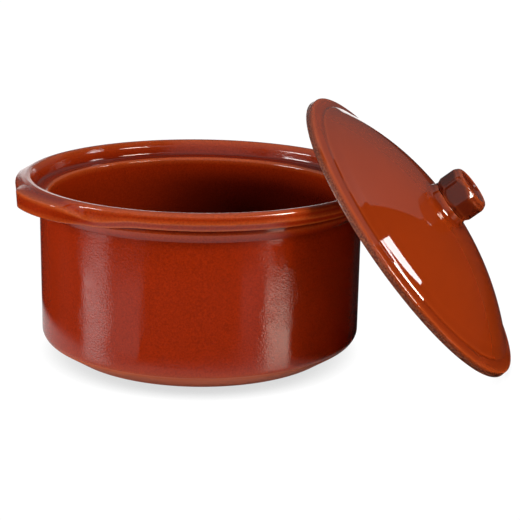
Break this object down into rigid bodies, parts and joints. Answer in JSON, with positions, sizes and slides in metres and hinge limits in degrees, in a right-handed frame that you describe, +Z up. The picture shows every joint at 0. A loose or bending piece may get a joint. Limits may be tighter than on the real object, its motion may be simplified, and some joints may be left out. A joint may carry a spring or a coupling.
{
  "type": "cocotte with lid",
  "caption": "Round glazed terracotta cocotte with straight walls, rolled rim, pinched lug handles and a domed lid with a faceted knob, leaning against the pot.",
  "frame": {"origin": "centre of the pot's flat base, on the surface that the pot stands on", "axes": "+Z up along the pot's axis; +X towards the side where the lid leans; the pictured front faces -Y"},
  "size_m": [0.339, 0.2652, 0.1736],
  "materials": {
    "pot_glaze": "glossy red-brown transparent glaze over terracotta, raw clay under the heel",
    "lug_glaze": "glossy red-brown transparent glaze over terracotta",
    "lid_glaze": "glossy orange-brown transparent glaze, matt speckled edge",
    "knob_glaze": "glossy dark brown glaze pooled on hand-cut flats"
  },
  "bodies": {
    "pot": {"pot_body": "pot_glaze", "left_lug_handle": "lug_glaze", "right_lug_handle": "lug_glaze"},
    "lid": {"lid": "lid_glaze", "lid_knob": "knob_glaze"}
  },
  "joints": [
    {"name": "lid_lift", "type": "slide", "parent": "pot", "child": "lid", "axis": [0, 0, 1], "range_m": [0, 0.15]}
  ]
}
